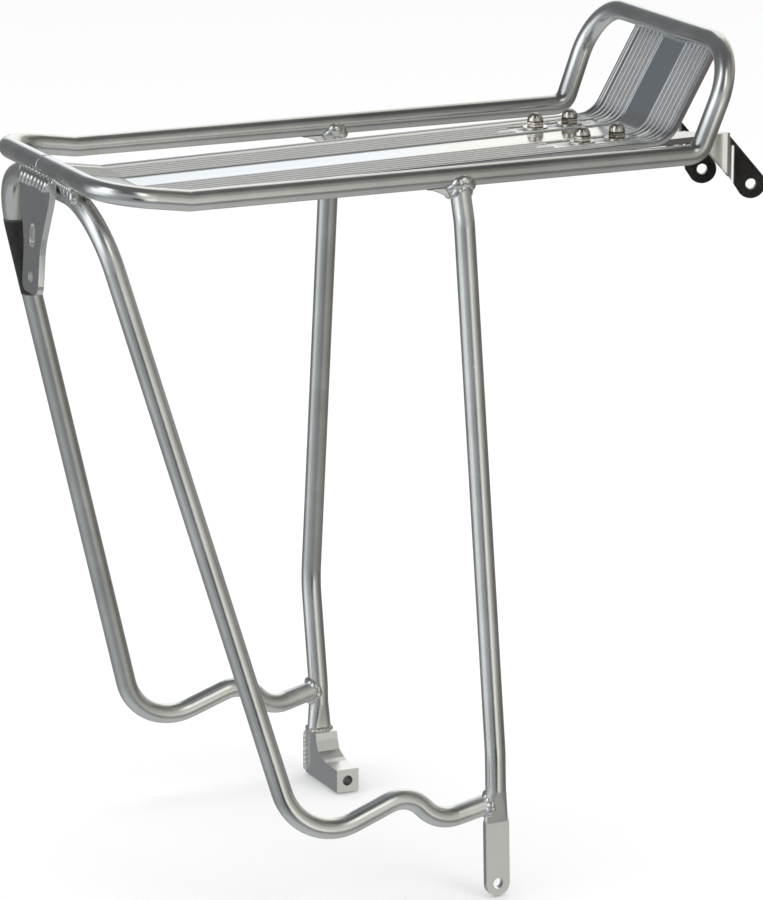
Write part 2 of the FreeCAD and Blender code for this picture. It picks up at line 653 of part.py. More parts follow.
# ---------------------------------------------------------------- fasteners
# Bolt head under the stay, washer and dome nut on the plate.
def bolt(label, x, y):
    body = new_body(label)
    seat = PLATE_UNDERSIDE - dim("stay_thick")
    shank, head = dim("bolt_dia") / 2, dim("head_dia") / 2
    head_h, top = dim("head_h"), dim("bolt_top")
    profile = sketch(body, "XZ_Plane", "half")
    polygon(profile, [
        (0, seat - head_h), (head - 1, seat - head_h), (head - 0.3, seat - head_h / 2),
        (head, seat - 0.4), (head, seat), (shank, seat),
        (shank, top - 0.5), (shank - 0.5, top), (0, top)])
    revolve(body, profile, label + "_turn")
    body.Placement = on_plate(x, y)
    return body


def washer(label, x, y):
    disc = doc.addObject("Part::Cylinder", label + "_disc")
    disc.setExpression("Radius", "Dims.washer_dia / 2")
    disc.setExpression("Height", "Dims.washer_h")
    hole = doc.addObject("Part::Cylinder", label + "_hole")
    hole.setExpression("Radius", "Dims.bolt_hole / 2")
    hole.setExpression("Height", "Dims.washer_h * 4")
    hole.Placement = Placement(Vector(0, 0, -1.5), Rotation())
    ring = doc.addObject("Part::Cut", label)
    ring.Base, ring.Tool = disc, hole
    doc.recompute()
    ring.Placement = on_plate(x, y, DIMS["stay_gap"])
    return ring


def nut(label, x, y):
    body = new_body(label)
    half_flats, base = dim("nut_flats") / 2, dim("nut_base")
    corner_ratio = 1.0 / math.cos(math.pi / 6)
    hexagon = sketch(body, "XY_Plane", "hex")
    polygon(hexagon, [(half_flats * (corner_ratio * math.cos(math.pi / 3 * i)),
                       half_flats * (corner_ratio * math.sin(math.pi / 3 * i)))
                      for i in range(6)])
    pad(body, hexagon, base, symmetric=False)

    radius = half_flats - dim("dome_inset")
    low, spring = base - dim("dome_sink"), base + dim("dome_step")
    points = [(0, low), (radius, low), (radius, spring)]
    for degrees in (22, 42, 60, 75):
        angle = math.radians(degrees)
        points.append((radius * math.cos(angle), spring + dim("nut_dome") * math.sin(angle)))
    points.append((0, spring + dim("nut_dome")))
    dome = sketch(body, "XZ_Plane", "dome")
    polygon(dome, points)
    revolve(body, dome, label + "_dome")
    thread = sketch(body, "XY_Plane", "thread")
    circle(thread, 0, 0, dim("nut_bore") / 2)
    cut(body, thread, (dim("bolt_top") - dim("washer_h") + dim("thread_extra")) * 2)
    body.Placement = on_plate(x, y, DIMS["washer_h"] + DIMS["stay_gap"] + DIMS["nut_gap"])
    return body


fasteners = []
for side, name in ((RIGHT, "right"), (LEFT, "left")):
    for end in ("rear", "front"):
        x = DIMS["bolt_" + end] + DIMS[name + "_shift"]
        y = side * DIMS["stay_y"]
        for make, kind in ((bolt, "bolt"), (washer, "washer"), (nut, "nut")):
            fasteners.append(make("%s_%s_%s" % (name, end, kind), x, y))


# ---------------------------------------------------------------- tail plate
def tail_plate():
    """Flat plate for a lamp or reflector behind the tail crossbar, tapering to a tongue."""
    body = new_body("tail_plate")
    top_half, mid_half, low_half = dim("tail_half"), dim("tail_mid_half"), dim("tail_low_half")
    top, shoulder, mid = dim("tail_top_z"), dim("tail_sh_z"), dim("tail_mid_z")
    corner = dim("tail_corner")
    corner_z = dim("tail_low_z") + corner
    points = [
        (top_half - 0.8, top), (top_half, top - 0.8), (top_half, shoulder),
        (top_half - 0.6, shoulder - 3.5), (top_half - 2.1, shoulder - 8), (mid_half, mid),
        (low_half + 1.7, mid - 6), (low_half + 0.5, mid - 10.5),
        (low_half + 0.1, dim("tail_neck_z")), (low_half, corner_z)]
    for degrees in (18, 36, 54, 72, 90):
        angle = math.radians(degrees)
        points.append((low_half - corner + corner * math.cos(angle),
                       corner_z - corner * math.sin(angle)))
    tongue = sketch(body, "YZ_Plane", "tongue", lift=-dim("tail_face"))
    polygon(tongue, mirrored(points))
    pad(body, tongue, dim("tail_thick"), symmetric=False, reverse=True)
    slot_rad = dim("tail_slot_w") / 2
    slot = sketch(body, "YZ_Plane", "lamp_slot")
    oblong(slot, 0, dim("tail_slot_lo") + slot_rad, 0, dim("tail_slot_hi") - slot_rad, slot_rad)
    cut(body, slot, length=40.0)
    hole = sketch(body, "YZ_Plane", "lamp_hole")
    circle(hole, 0, dim("tail_hole_z"), dim("tail_hole_d") / 2)
    cut(body, hole, length=40.0)
    body.Placement = Placement(Vector(DIMS["tail_x"], 0, DIMS["deck_z"] + DIMS["tail_rise"]),
                               Rotation(Vector(0, 1, 0), DIMS["tail_tilt"]))
    return body


tail = tail_plate()


# ---------------------------------------------------------------- gussets
def gusset(label, side):
    """Small web under the rail, behind the top of a front leg."""
    body = new_body(label)
    length, height = dim("gusset_len"), dim("gusset_h")
    top = dim("deck_z") - TUBE - dim("gusset_rail_gap")
    front = dim("front_top_x") - TUBE - dim("gusset_leg_gap")
    web = sketch(body, "XZ_Plane", "web", lift=-side * dim("rail_y"))
    polygon(web, [
        (front - length, top), (front, top), (front, top - height),
        (front - length * 0.22, top - height * 0.52),
        (front - length * 0.55, top - height * 0.2), (front - length, top - 0.3)])
    pad(body, web, dim("gusset_t"))
    return body


gussets = [gusset("right_gusset", RIGHT), gusset("left_gusset", LEFT)]

# ---------------------------------------------------------------- move to the origin, export
NODES = [deck_loop, plate, rear_leg_hoop, right_front_leg, left_front_leg, block, tail,
         right_stay, left_stay, band] + gussets + fasteners
for node in NODES:
    moved = node.Placement
    moved.Base = moved.Base - Vector(0, DIMS["block_in_y"], 0)
    node.Placement = moved
doc.recompute()

bad = [item.Name for item in doc.Objects if "Invalid" in item.State or "Error" in item.State]
if bad:
    raise RuntimeError("objects in error: %s" % bad)
os.makedirs("parts", exist_ok=True)
for node in NODES:
    shape = node.Shape
    if shape.isNull() or not shape.isValid() or shape.Volume <= 0:
        raise RuntimeError("bad shape: " + node.Label)
    if len(shape.Solids) != 1:
        raise RuntimeError("%s has %d solids" % (node.Label, len(shape.Solids)))
    shape.exportStep("parts/%s.step" % node.Label)
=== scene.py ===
"""A tubular metal rack: looks, weld beads and a small studio.

The rack stands upright, +Z up, with its front towards +X, its left side towards +Y and
its crossbar and lamp plate at the tail (-X). Shader and studio sizes are in metres;
weld bead sizes are in millimetres, turned into metres by MM.
"""
import bpy
import bmesh
import json
import math
import random
from mathutils import Vector, Matrix


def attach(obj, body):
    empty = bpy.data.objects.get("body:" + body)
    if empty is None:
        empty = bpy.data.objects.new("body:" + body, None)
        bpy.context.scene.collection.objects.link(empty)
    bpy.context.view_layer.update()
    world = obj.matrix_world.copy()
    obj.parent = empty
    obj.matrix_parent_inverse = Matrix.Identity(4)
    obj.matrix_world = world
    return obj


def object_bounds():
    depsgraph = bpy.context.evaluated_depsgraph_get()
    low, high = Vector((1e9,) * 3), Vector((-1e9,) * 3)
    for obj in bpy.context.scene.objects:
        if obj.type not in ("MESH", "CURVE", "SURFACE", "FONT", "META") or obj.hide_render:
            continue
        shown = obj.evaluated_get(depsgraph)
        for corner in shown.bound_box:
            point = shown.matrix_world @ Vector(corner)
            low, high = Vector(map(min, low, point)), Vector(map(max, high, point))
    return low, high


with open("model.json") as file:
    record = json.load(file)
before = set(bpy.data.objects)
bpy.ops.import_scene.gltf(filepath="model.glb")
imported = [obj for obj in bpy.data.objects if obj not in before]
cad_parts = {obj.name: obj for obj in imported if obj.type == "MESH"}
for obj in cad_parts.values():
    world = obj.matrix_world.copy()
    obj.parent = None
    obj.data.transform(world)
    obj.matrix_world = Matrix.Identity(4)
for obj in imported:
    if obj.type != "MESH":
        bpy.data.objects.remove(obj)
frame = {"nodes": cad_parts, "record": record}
CAD_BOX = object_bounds()
random.seed(7)
MM = 0.001

# ---------------------------------------------------------------- driving sizes, mm
MID_Y = -69.5                    # middle of the rack's width
TUBE_R = 5.0
SKIN_R = 5.2                     # a tube's radius where a bead lies on it
RAIL_Y = {"right": -141.0, "left": 2.0}
RAIL_Z = 341.5
CROSSBAR_X, CROSSBAR_Z = -185.0, 347.5
LEG_LEAN = math.tan(math.radians(1.16))      # how far a front leg goes back per unit of height

# Frosted zones round the welded joints: centre, reach
WELD_ZONES = [
    ((-6.8, RAIL_Y["right"], 334.5), 15), ((-6.8, RAIL_Y["left"], 334.5), 15),
    ((-5.5, -171.0, 40.0), 14), ((-5.5, 33.5, 40.0), 14),
    ((-190.0, MID_Y - 24, 341.5), 15), ((-190.0, MID_Y + 42, 341.5), 15),
    ((0.0, 35.0, 16.0), 12),
]


# ---------------------------------------------------------------- node helpers
NOISE_SPAN = (0.3, 0.7)          # where most values of a noise lie
FALL = (1.0, 0.0)                # a remap that goes down instead of up


def scaled(colour, factor, shift=(0.0, 0.0, 0.0)):
    return tuple(c * factor + s for c, s in zip(colour, shift))


class Graph:
    """Short calls that add nodes to one tree. Values may be numbers or sockets."""

    def __init__(self, tree):
        self.tree = tree
        tree.nodes.clear()

    def node(self, kind, **settings):
        node = self.tree.nodes.new(kind)
        for key, value in settings.items():
            setattr(node, key, value)
        return node

    def feed(self, socket, value):
        if isinstance(value, bpy.types.NodeSocket):
            self.tree.links.new(value, socket)
        else:
            socket.default_value = value

    def math(self, operation, a, b=0.0, third=0.0):
        """The third input is set but not read by the operations used here."""
        node = self.node("ShaderNodeMath", operation=operation)
        for socket, value in zip(node.inputs, (a, b, third)):
            self.feed(socket, value)
        return node.outputs[0]

    def add(self, a, b):
        return self.math("ADD", a, b)

    def sub(self, a, b):
        return self.math("SUBTRACT", a, b)

    def top_of(self, a, b):
        return self.math("MAXIMUM", a, b)

    def mul(self, first, *others):
        for other in others:
            first = self.math("MULTIPLY", first, other)
        return first

    def inverse(self, value):
        return self.sub(1.0, value)

    def weighted(self, *parts):
        """Sum of (value, weight) pairs."""
        total = None
        for value, weight in reversed(parts):
            part = self.mul(value, weight)
            total = part if total is None else self.add(part, total)
        return total

    def remap(self, value, over=NOISE_SPAN, to=(0.0, 1.0), smooth=False):
        node = self.node("ShaderNodeMapRange")
        if smooth:
            node.interpolation_type = "SMOOTHSTEP"
        for socket, v in zip(node.inputs, (value, *over, *to)):
            self.feed(socket, v)
        return node.outputs[0]

    def band(self, value, low, high, soft):
        """1 between low and high, fading over twice soft at each end."""
        return self.mul(self.remap(value, over=(low - soft, low + soft)),
                        self.remap(value, over=(high - soft, high + soft), to=FALL))

    def mix(self, factor, a, b):
        node = self.node("ShaderNodeMix", data_type="RGBA")
        self.feed(node.inputs[0], factor)
        for socket, value in ((node.inputs[6], a), (node.inputs[7], b)):
            self.feed(socket, (*value, 1.0) if isinstance(value, tuple) else value)
        return node.outputs[2]

    def tint(self, colour, new, mask, amount=None):
        """Lay a new colour over the old one where the mask is on."""
        return self.mix(mask if amount is None else self.mul(mask, amount), colour, new)

    def xyz(self, vector):
        node = self.node("ShaderNodeSeparateXYZ")
        self.feed(node.inputs[0], vector)
        return node.outputs[0], node.outputs[1], node.outputs[2]


class Material(Graph):
    """A Principled material whose patterns are laid out by position in the scene."""

    def __init__(self, name):
        self.material = bpy.data.materials.new(name)
        self.material.use_nodes = True
        super().__init__(self.material.node_tree)
        self.shader = self.node("ShaderNodeBsdfPrincipled")
        output = self.node("ShaderNodeOutputMaterial")
        self.feed(output.inputs[0], self.shader.outputs[0])
        geometry = self.node("ShaderNodeNewGeometry").outputs
        self.place = geometry["Position"]
        self.facing = geometry["Normal"]
        self.pointiness = geometry["Pointiness"]

    def object_xyz(self):
        return self.xyz(self.node("ShaderNodeTexCoord").outputs["Object"])

    def stretched(self, stretch, turn=(0, 0, 0)):
        node = self.node("ShaderNodeMapping")
        node.inputs["Scale"].default_value = stretch
        node.inputs["Rotation"].default_value = turn
        self.feed(node.inputs["Vector"], self.place)
        return node.outputs[0]

    def noise(self, scale=1.0, detail=2.0, rough=0.5, distortion=0.0, stretch=None,
              turn=(0, 0, 0)):
        node = self.node("ShaderNodeTexNoise")
        vector = self.stretched(stretch, turn) if stretch else self.place
        for key, value in (("Vector", vector), ("Scale", scale), ("Detail", detail),
                           ("Roughness", rough), ("Distortion", distortion)):
            self.feed(node.inputs[key], value)
        return node.outputs["Fac"]

    def edges(self, over=(0.53, 0.60)):
        return self.remap(self.pointiness, over=over)

    def hollows(self, over):
        return self.remap(self.pointiness, over=over, to=FALL)

    def bump(self, height, strength, distance, normal=None):
        node = self.node("ShaderNodeBump")
        node.inputs["Strength"].default_value = strength
        node.inputs["Distance"].default_value = distance
        self.feed(node.inputs["Height"], height)
        if normal is not None:
            self.feed(node.inputs["Normal"], normal)
        return node.outputs[0]

    def bevel(self, radius):
        node = self.node("ShaderNodeBevel", samples=4)
        node.inputs["Radius"].default_value = radius
        return node.outputs[0]

    def finish(self, colour, roughness, normal, metallic=1.0):
        for key, value in (("Base Color", colour), ("Metallic", metallic),
                           ("Roughness", roughness), ("Normal", normal)):
            self.feed(self.shader.inputs[key], value)
        return self.material


# ---------------------------------------------------------------- materials
def weld_zone(m):
    """0 to 1 near the welded joints."""
    total = None
    for centre, reach in WELD_ZONES:
        node = m.node("ShaderNodeVectorMath", operation="DISTANCE")
        m.feed(node.inputs[0], m.place)
        node.inputs[1].default_value = Vector(centre) * MM
        near = m.remap(node.outputs["Value"], over=(reach * MM * 0.45, reach * MM), to=FALL,
                       smooth=True)
        total = near if total is None else m.top_of(total, near)
    return total


def satin(name, base, rough, grain=1.0, wear=1.0, painted_shade=False):
    """Satin aluminium: cloudy tone, very fine grain, thin scratches, frosted at the welds."""
    m = Material(name)
    cloud = m.noise(scale=38.0, detail=3.0)
    patch = m.noise(scale=140.0, detail=4.0, rough=0.6)
    fine = m.noise(scale=3600.0, rough=0.6)
    lines_y = m.noise(stretch=(260.0, 2600.0, 260.0))
    lines_z = m.noise(stretch=(2600.0, 2600.0, 130.0))
    scratch = m.noise(stretch=(90.0, 900.0, 420.0), turn=(0.3, 0.5, 0.2), detail=5.0, rough=0.75)
    scratch = m.remap(scratch, over=(0.70, 0.76))

    dark = scaled(base, 0.90, shift=(-0.006, 0.0, -0.012))
    light = scaled(base, 1.05, shift=(0.0, 0.0, 0.01))
    colour = m.mix(m.remap(cloud), dark, light)
    patchy = m.remap(patch, over=(0.56, 0.74), to=(0.0, 0.35))
    colour = m.tint(colour, scaled(base, 0.97), patchy)
    colour = m.tint(colour, (0.93, 0.93, 0.92), scratch, amount=0.22 * wear)
    roughness = m.add(m.remap(cloud, to=(rough - 0.035, rough + 0.035)),
                      m.remap(fine, to=(-0.03, 0.03)))
    roughness = m.sub(roughness, m.mul(scratch, 0.06))       # scratches are shinier

    # frosted, faintly straw-coloured metal round each joint
    frost = m.mul(weld_zone(m), m.remap(patch, over=(0.3, 0.62), to=(0.35, 1.0)))
    colour = m.tint(colour, (0.90, 0.885, 0.82), frost, amount=0.6)
    roughness = m.add(roughness, m.mul(frost, 0.10))
    colour = m.tint(colour, (0.95, 0.95, 0.94), m.edges(), amount=0.5)
    if painted_shade:
        # painted shade: the long rails are a little darker towards +X, below the top of the hoop
        x, _, z = m.xyz(m.place)
        forward = m.mul(m.remap(x, over=(-0.17, 0.06), smooth=True),
                        m.remap(z, over=(0.349, 0.368), to=FALL, smooth=True))
        colour = m.tint(colour, (0.33, 0.34, 0.34), forward, amount=0.58)

    height = m.weighted((fine, 0.5), (lines_y, 0.3), (lines_z, 0.3))
    normal = m.bump(height, strength=0.06 * grain, distance=0.00006,
                    normal=m.bevel(radius=0.00025))
    normal = m.bump(m.mul(scratch, -1.0), strength=0.12 * wear, distance=0.00003, normal=normal)
    return m.finish(colour, roughness, normal)


def extruded(name, base, rough):
    """Ribbed strip with a smooth middle: die lines along its run, painted shade and highlights
    across its ribs, painted reflections on its middle.
    """
    m = Material(name)
    die = m.noise(stretch=(6.0, 1500.0, 6.0), detail=3.0, rough=0.65)
    fine_die = m.noise(stretch=(14.0, 5200.0, 14.0))
    cloud = m.noise(scale=45.0, detail=3.0)
    scratch = m.noise(stretch=(700.0, 160.0, 300.0), turn=(0.2, 0.1, 0.7), detail=5.0, rough=0.75)
    scratch = m.remap(scratch, over=(0.67, 0.72))
    colour = m.mix(m.remap(die, over=(0.35, 0.65)), scaled(base, 0.88), scaled(base, 1.07))
    cloudy = m.remap(cloud, over=(0.35, 0.7), to=(0.0, 0.25))
    colour = m.tint(colour, scaled(base, 0.93), cloudy)
    colour = m.tint(colour, (0.9, 0.9, 0.9), scratch, amount=0.4)

    # the ribbed sides, and how far the strip has left its flat level; painted shade darkens the
    # ribbed sides on the flat
    x, y, z = m.xyz(m.place)
    from_middle = m.math("ABSOLUTE", m.sub(y, MID_Y * MM))
    side = m.remap(from_middle, over=(0.0118, 0.0126))
    flat = m.remap(z, over=(0.3435, 0.352), to=FALL, smooth=True)
    colour = m.tint(colour, (0.56, 0.575, 0.60), m.mul(side, flat), amount=0.55)

    # ribs: 0 in the middle of each pitch, 0.5 at its ends
    first_rib, rib_pitch = 0.0129, 0.0041
    turns = m.math("DIVIDE", m.sub(from_middle, first_rib), rib_pitch)
    rib = m.math("ABSOLUTE", m.sub(m.math("FRACT", turns), 0.5))
    # painted shade in the roots of the ribs
    root_shade = m.mul(m.remap(rib, over=(0.22, 0.30)), m.remap(rib, over=(0.36, 0.40), to=FALL), side)
    rise = m.inverse(flat)
    # painted reflection: a pale bluish tint on the smooth middle where the strip rises
    colour = m.tint(colour, (0.86, 0.95, 1.0), m.mul(m.inverse(side), m.mul(rise, 0.7)))
    root_shade_depth = m.add(0.38, m.mul(rise, 0.22))              # roots darken as the strip rises
    colour = m.tint(colour, (0.16, 0.165, 0.17), m.mul(root_shade, root_shade_depth))
    # painted highlight along the crest of each rib, made less metallic where the strip rises
    crest_highlight = m.mul(m.remap(rib, over=(0.38, 0.42)), side)
    colour = m.tint(colour, (0.93, 0.935, 0.94), crest_highlight, amount=0.85)

    # painted shade: dark outer lip where it faces -Y
    _, facing_y, facing_z = m.xyz(m.facing)
    lip_shade = m.mul(m.remap(facing_y, over=(-0.5, -0.8)),
                m.remap(from_middle, over=(0.0385, 0.0392)),
                m.remap(z, over=(0.344, 0.348)))
    colour = m.tint(colour, (0.20, 0.18, 0.19), lip_shade, amount=0.85)

    # painted light: matt, pale walls of the slots
    across = m.mul(m.remap(from_middle, over=(0.0184, 0.0186)),
                   m.remap(from_middle, over=(0.0244, 0.0246), to=FALL))
    wall = m.mul(m.remap(facing_z, over=(0.4, 0.6), to=FALL), m.remap(x, over=(0.058, 0.060)))
    slot = m.mul(across, wall, m.remap(x, over=(0.120, 0.122), to=FALL))
    colour = m.tint(colour, (0.80, 0.81, 0.83), slot)

    # painted reflection: the smooth middle is paler where the strip turns down to the crossbar
    pale_reflection = m.mul(m.inverse(side), m.remap(x, over=(-0.147, -0.142), to=FALL))
    colour = m.tint(colour, (0.95, 0.96, 0.98), pale_reflection)

    matt = m.top_of(m.mul(crest_highlight, rise, 0.5), m.mul(pale_reflection, 0.4))
    matt = m.top_of(m.mul(slot, 0.9), matt)
    roughness = m.add(m.remap(side, over=(0.0, 1.0), to=(0.13, rough)),
                      m.remap(die, to=(-0.03, 0.03)))
    roughness = m.add(roughness, m.remap(cloud, to=(-0.01, 0.02)))
    height = m.mul(m.weighted((die, 0.6), (fine_die, 0.4)),
                   m.remap(side, over=(0.0, 1.0), to=(0.25, 1.0)))
    normal = m.bump(height, strength=0.14, distance=0.00005, normal=m.bevel(radius=0.00015))
    normal = m.bump(m.mul(scratch, -1.0), strength=0.15, distance=0.00003, normal=normal)
    return m.finish(colour, roughness, normal, metallic=m.inverse(matt))


def bend_tones(m, colour, cloud, bend):
    """Painted shade and highlights along a stay, measured in X from its bend. Returns the colour and
    the metallic value.
    """
    x, _, z = m.object_xyz()
    _, _, facing_z = m.xyz(m.facing)
    past = m.sub(x, bend)
    top = m.remap(facing_z, over=(0.75, 0.9))
    web = m.inverse(top)
    low = m.remap(z, over=(0.3343, 0.3353), to=FALL)
    # painted shade on the top faces
    colour = m.tint(colour, (0.54, 0.55, 0.565), top, amount=0.9)
    # painted shade over the web, away from the bend
    web_shade = m.mul(m.remap(past, over=(-0.0135, -0.0095), to=FALL, smooth=True), web)
    colour = m.tint(colour, (0.095, 0.085, 0.09), web_shade, amount=0.88)
    # painted shade: a darker smear across the web
    smear_shade = m.mul(m.band(past, low=-0.0085, high=-0.0048, soft=0.0012), web,
                  m.remap(cloud, over=(0.25, 0.6), to=(0.3, 0.65)))
    colour = m.tint(colour, (0.28, 0.28, 0.25), smear_shade)
    # painted highlight on the web just short of the bend
    bend_highlight = m.mul(m.band(past, low=-0.0040, high=-0.0012, soft=0.0005), web)
    colour = m.tint(colour, (0.99, 0.99, 0.96), bend_highlight, amount=0.9)
    # painted shade in the crease of the bend
    crease = m.mul(m.band(past, low=-0.0012, high=0.0004, soft=0.0003), web)
    colour = m.tint(colour, (0.20, 0.19, 0.17), crease, amount=0.85)
    # painted shade over the tab past the bend
    tab = m.remap(past, over=(0.0003, 0.0012))
    colour = m.tint(colour, (0.16, 0.15, 0.14), tab, amount=0.75)
    # painted highlight: a bright line just past the bend
    line = m.mul(m.band(past, low=0.0009, high=0.0021, soft=0.0003), web, low)
    colour = m.tint(colour, (0.97, 0.965, 0.94), line)
    # painted light on the flange top under the plate's slots
    bed = m.mul(top, m.remap(x, over=(0.116, 0.120), to=FALL))
    colour = m.tint(colour, (0.82, 0.82, 0.83), bed)
    matt = m.top_of(m.mul(m.top_of(line, bed), 0.9), m.mul(bend_highlight, 0.35))
    return colour, m.inverse(matt)


def brushed(name, base, rough, stretch, bend=None):
    """Brushed stainless, darker and rougher in patches and polished on its edges; with a bend,
    painted shade and highlights along it.
    """
    m = Material(name)
    brush = m.noise(stretch=stretch, detail=4.0, rough=0.7)
    cloud = m.noise(scale=90.0, detail=3.0, rough=0.6)
    colour = m.mix(m.remap(brush), scaled(base, 0.80), scaled(base, 1.1))
    cloudy = m.remap(cloud, over=(0.5, 0.75), to=(0.0, 0.35))
    colour = m.tint(colour, (0.30, 0.29, 0.28), cloudy)
    colour = m.tint(colour, (0.92, 0.91, 0.89), m.edges(), amount=0.7)
    metallic = 1.0
    if bend is not None:
        colour, metallic = bend_tones(m, colour, cloud, bend)
    roughness = m.add(m.remap(brush, to=(rough - 0.03, rough + 0.04)),
                      m.remap(cloud, to=(-0.02, 0.03)))
    normal = m.bump(brush, strength=0.08, distance=0.00004, normal=m.bevel(radius=0.0004))
    return m.finish(colour, roughness, normal, metallic)


def polished(name, base, rough):
    """Polished stainless with hairlines and haze, and painted shade in its hollows, in rings round
    the foot of each nut, on the crown and round the outline.
    """
    m = Material(name)
    haze = m.noise(scale=260.0, detail=4.0, rough=0.6)
    hair = m.noise(stretch=(900.0, 900.0, 5200.0), detail=3.0, rough=0.6)
    pit = m.noise(scale=2400.0)
    colour = m.mix(m.remap(haze, over=(0.35, 0.7)), base, scaled(base, 0.86))
    colour = m.tint(colour, (0.95, 0.92, 0.86), m.edges(over=(0.53, 0.62)), amount=0.5)
    # painted shade in the hollows
    colour = m.tint(colour, (0.20, 0.17, 0.14), m.hollows(over=(0.40, 0.48)), amount=0.6)

    # height above the sloping seat of the nuts: its level at X = 0, and its slope along X
    seat_z, seat_slope = 0.340635, 0.019075
    x, _, z = m.object_xyz()
    up = m.sub(m.sub(z, seat_z), m.mul(x, seat_slope))
    foot, middle, upper = (m.band(up, low, high, soft=0.00012) for low, high in
                           ((-0.0002, 0.0006), (0.0013, 0.0017), (0.0024, 0.0031)))
    # painted shade: dark rings round the foot of each nut
    ring_shade = m.top_of(foot, m.top_of(middle, upper))
    colour = m.tint(colour, (0.12, 0.09, 0.06), ring_shade, amount=0.85)
    # painted shade on the crown of each nut
    crown_shade = m.remap(up, over=(0.0050, 0.0064), smooth=True)
    colour = m.tint(colour, (0.34, 0.31, 0.32), crown_shade, amount=0.6)
    # painted shade round the outline, where the surface turns away from view
    layer = m.node("ShaderNodeLayerWeight")
    layer.inputs["Blend"].default_value = 0.5
    outline_shade = m.mul(m.remap(layer.outputs["Facing"], over=(0.45, 0.85), smooth=True),
                    m.remap(up, over=(0.0028, 0.0034)))
    colour = m.tint(colour, (0.20, 0.15, 0.10), outline_shade, amount=0.8)

    roughness = m.add(m.remap(haze, to=(rough - 0.03, rough + 0.05)),
                      m.remap(hair, to=(-0.02, 0.03)))
    normal = m.bump(m.weighted((hair, 0.6), (pit, 0.4)), strength=0.04, distance=0.00003,
                    normal=m.bevel(radius=0.0002))
    return m.finish(colour, roughness, normal)


def milled(name, base, rough):
    """Milled block: fine cutter lines across the faces, soft broken edges."""
    m = Material(name)
    wave = m.node("ShaderNodeTexWave", wave_type="BANDS", bands_direction="DIAGONAL",
                  wave_profile="SIN")
    for key, value in (("Vector", m.stretched((1.0, 0.35, 1.0))), ("Scale", 900.0),
                       ("Distortion", 2.0), ("Detail", 2.0)):
        m.feed(wave.inputs[key], value)
    cutter = wave.outputs["Fac"]
    grain = m.noise(stretch=(300.0, 2200.0, 300.0), detail=3.0, rough=0.6)
    cloud = m.noise(scale=120.0, detail=3.0)
    colour = m.mix(m.remap(cloud, over=(0.35, 0.7)), base, scaled(base, 0.87))
    colour = m.tint(colour, (0.95, 0.95, 0.94), m.edges(over=(0.52, 0.58)), amount=0.8)
    roughness = m.add(m.remap(cutter, over=(0.0, 1.0), to=(rough - 0.04, rough + 0.04)),
                      m.remap(grain, to=(-0.03, 0.03)))
    normal = m.bump(m.weighted((cutter, 0.4), (grain, 0.6)), strength=0.22, distance=0.00006,
                    normal=m.bevel(radius=0.0003))
    return m.finish(colour, roughness, normal)


def film(name):
    """Dark glossy film wrapped on the tube: faint wrinkles, dust and worn ends."""
    m = Material(name)
    wrinkle = m.noise(stretch=(120.0, 120.0, 420.0), detail=3.0, distortion=0.4)
    dust = m.noise(scale=2600.0, rough=0.6)
    rub = m.noise(scale=160.0, detail=4.0, rough=0.65)
    colour = m.mix(m.remap(rub, over=(0.45, 0.75), to=(0.0, 0.6)),
                   (0.010, 0.0095, 0.010), (0.030, 0.028, 0.027))
    dusty = m.remap(dust, over=(0.66, 0.78), to=(0.0, 0.35))
    colour = m.tint(colour, (0.20, 0.195, 0.19), dusty)
    _, _, z = m.xyz(m.place)
    ends = m.top_of(m.remap(z, over=(0.3068, 0.3080)), m.remap(z, over=(0.2702, 0.2690)))
    colour = m.tint(colour, (0.16, 0.155, 0.15), ends, amount=0.45)
    m.shader.inputs["Coat Weight"].default_value = 0.12
    m.shader.inputs["Coat Roughness"].default_value = 0.18
    normal = m.bump(m.add(wrinkle, m.mul(dust, 0.15)), strength=0.18, distance=0.0002)
    return m.finish(colour, m.remap(rub, to=(0.22, 0.40)), normal, metallic=0.0)


def weld_metal(name):
    """Aluminium weld bead: silvery, a little soapy, darker in the valleys."""
    m = Material(name)
    coarse = m.noise(scale=900.0, detail=4.0, rough=0.6)
    fine = m.noise(scale=3200.0, detail=3.0, rough=0.6)
    broad = m.noise(scale=210.0)
    colour = m.mix(m.remap(coarse, over=(0.35, 0.7)), (0.86, 0.86, 0.85), (0.70, 0.70, 0.68))
    straw = m.remap(broad, over=(0.45, 0.7), to=(0.0, 0.5))
    colour = m.tint(colour, (0.88, 0.86, 0.78), straw)
    colour = m.tint(colour, (0.30, 0.30, 0.28), m.hollows(over=(0.42, 0.49)), amount=0.55)
    normal = m.bump(fine, strength=0.15, distance=0.00008)
    normal = m.bump(coarse, strength=0.2, distance=0.0002, normal=normal)
    return m.finish(colour, m.remap(coarse, to=(0.13, 0.27)), normal)


# the look shared by all the stays; bend is the X of a stay's bend
STAY = dict(base=(0.70, 0.685, 0.66), rough=0.15, stretch=(120.0, 1800.0, 1800.0))
MATERIALS = {
    "tube": satin("satin_tube", base=(0.82, 0.825, 0.81), rough=0.23),
    # the loop's long rails carry painted shade towards +X
    "loop": satin("satin_loop", base=(0.81, 0.815, 0.80), rough=0.185, painted_shade=True),
    "plate": extruded("ribbed_strip", base=(0.78, 0.79, 0.80), rough=0.21),
    "block": milled("milled_block", base=(0.78, 0.78, 0.79), rough=0.33),
    "tail": satin("satin_plate", base=(0.74, 0.75, 0.76), rough=0.17, grain=0.6, wear=1.2),
    "stay": brushed("brushed_stay", **STAY),
    "right_stay": brushed("brushed_right_stay", **STAY, bend=0.1617),
    "left_stay": brushed("brushed_left_stay", **STAY, bend=0.1577),
    "fastener": polished("polished_stainless", base=(0.84, 0.79, 0.71), rough=0.075),
    "washer": brushed("washer_steel", base=(0.70, 0.68, 0.64), rough=0.24,
                      stretch=(1500.0, 1500.0, 300.0)),
    "band": film("dark_film"),
    "weld": weld_metal("weld_bead"),
}
